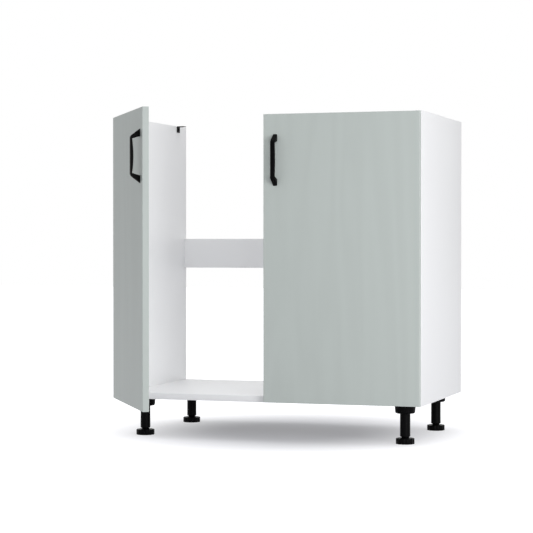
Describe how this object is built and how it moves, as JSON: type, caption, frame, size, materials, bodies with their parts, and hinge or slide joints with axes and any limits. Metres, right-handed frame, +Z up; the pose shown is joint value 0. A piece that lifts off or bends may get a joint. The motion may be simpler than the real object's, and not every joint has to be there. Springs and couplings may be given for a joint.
{
  "type": "sink base cabinet",
  "caption": "Open box carcass on adjustable round legs, with doors on concealed cup hinges, bridge handles, a rear rail and an open top for a sink.",
  "frame": {"origin": "on the floor under the feet, in the middle of the width and of the depth that the cabinet takes with its left door open as shown", "axes": "+Z up; -Y towards the person in front of the doors; +X to the right seen from the front"},
  "size_m": [0.8039, 0.8046, 0.8175],
  "materials": {
    "white_melamine": "satin white melamine board",
    "door_laminate": "satin grey-green film with a faint upright grain",
    "black_metal": "fine black powder coat",
    "black_plastic": "moulded black plastic",
    "hinge_steel": "nickel-plated steel",
    "beech": "plain beech dowel"
  },
  "bodies": {
    "carcass": {"back_rail": "white_melamine", "bottom_panel": "white_melamine", "left_back_leg_socket": "black_plastic", "left_back_leg_tube": "black_plastic", "left_back_worktop_bracket": "black_metal", "left_bottom_dowel_back": "beech", "left_bottom_dowel_front": "beech", "left_front_leg_socket": "black_plastic", "left_front_leg_tube": "black_plastic", "left_front_worktop_bracket": "black_metal", "left_lower_hinge_arm": "hinge_steel", "left_lower_hinge_plate": "hinge_steel", "left_rail_dowel_lower": "beech", "left_rail_dowel_upper": "beech", "left_side_panel": "white_melamine", "left_upper_hinge_arm": "hinge_steel", "left_upper_hinge_plate": "hinge_steel", "right_back_leg_socket": "black_plastic", "right_back_leg_tube": "black_plastic", "right_back_worktop_bracket": "black_metal", "right_bottom_dowel_back": "beech", "right_bottom_dowel_front": "beech", "right_front_leg_socket": "black_plastic", "right_front_leg_tube": "black_plastic", "right_front_worktop_bracket": "black_metal", "right_lower_hinge_arm": "hinge_steel", "right_lower_hinge_plate": "hinge_steel", "right_rail_dowel_lower": "beech", "right_rail_dowel_upper": "beech", "right_side_panel": "white_melamine", "right_upper_hinge_arm": "hinge_steel", "right_upper_hinge_plate": "hinge_steel"},
    "left_door_body": {"left_door": "door_laminate", "left_handle": "black_metal", "left_handle_lower_screw": "hinge_steel", "left_handle_upper_screw": "hinge_steel", "left_lower_hinge_cup": "hinge_steel", "left_upper_hinge_cup": "hinge_steel"},
    "left_main_links": {"left_lower_hinge_main_link": "hinge_steel", "left_upper_hinge_main_link": "hinge_steel"},
    "left_loose_links": {"left_lower_hinge_loose_link": "hinge_steel", "left_upper_hinge_loose_link": "hinge_steel"},
    "right_door_body": {"right_door": "door_laminate", "right_handle": "black_metal", "right_handle_lower_screw": "hinge_steel", "right_handle_upper_screw": "hinge_steel", "right_lower_hinge_cup": "hinge_steel", "right_upper_hinge_cup": "hinge_steel"},
    "right_main_links": {"right_lower_hinge_main_link": "hinge_steel", "right_upper_hinge_main_link": "hinge_steel"},
    "right_loose_links": {"right_lower_hinge_loose_link": "hinge_steel", "right_upper_hinge_loose_link": "hinge_steel"},
    "left_back_leg_foot_body": {"left_back_leg_foot": "black_plastic"},
    "left_front_leg_foot_body": {"left_front_leg_foot": "black_plastic"},
    "right_back_leg_foot_body": {"right_back_leg_foot": "black_plastic"},
    "right_front_leg_foot_body": {"right_front_leg_foot": "black_plastic"}
  },
  "joints": [
    {"name": "left_main_link_turn", "type": "hinge", "parent": "carcass", "child": "left_main_links", "pos_m": [-0.35, -0.05347, 0.457], "axis": [0, 0, -1], "range_deg": [-8.18, 12.17]},
    {"name": "left_door_turn", "type": "hinge", "parent": "left_main_links", "child": "left_door_body", "pos_m": [-0.38751, -0.06939, 0.457], "axis": [0, 0, -1], "range_deg": [-68.97, 45.98]},
    {"name": "left_loose_link_turn", "type": "hinge", "parent": "carcass", "child": "left_loose_links", "pos_m": [-0.34, -0.05407, 0.457], "axis": [0, 0, -1], "range_deg": [-5.79, 8.58]},
    {"name": "right_main_link_turn", "type": "hinge", "parent": "carcass", "child": "right_main_links", "pos_m": [0.35, -0.05347, 0.457], "axis": [0, 0, 1], "range_deg": [-20.15, 0.2]},
    {"name": "right_door_turn", "type": "hinge", "parent": "right_main_links", "child": "right_door_body", "pos_m": [0.39, -0.06127, 0.457], "axis": [0, 0, 1], "range_deg": [0, 114.95]},
    {"name": "right_loose_link_turn", "type": "hinge", "parent": "carcass", "child": "right_loose_links", "pos_m": [0.34, -0.05407, 0.457], "axis": [0, 0, 1], "range_deg": [-14.16, 0.2]},
    {"name": "left_back_leg_adjust", "type": "slide", "parent": "carcass", "child": "left_back_leg_foot_body", "axis": [0, 0, -1], "range_m": [-0.003, 0.02]},
    {"name": "left_front_leg_adjust", "type": "slide", "parent": "carcass", "child": "left_front_leg_foot_body", "axis": [0, 0, -1], "range_m": [-0.003, 0.02]},
    {"name": "right_back_leg_adjust", "type": "slide", "parent": "carcass", "child": "right_back_leg_foot_body", "axis": [0, 0, -1], "range_m": [-0.003, 0.02]},
    {"name": "right_front_leg_adjust", "type": "slide", "parent": "carcass", "child": "right_front_leg_foot_body", "axis": [0, 0, -1], "range_m": [-0.003, 0.02]}
  ],
  "couplings": [
    {"joint": "left_main_link_turn", "follows": "left_door_turn", "ratio": -0.17355},
    {"joint": "left_loose_link_turn", "follows": "left_door_turn", "ratio": -0.12149},
    {"joint": "right_main_link_turn", "follows": "right_door_turn", "ratio": -0.17355},
    {"joint": "right_loose_link_turn", "follows": "right_door_turn", "ratio": -0.12149}
  ]
}
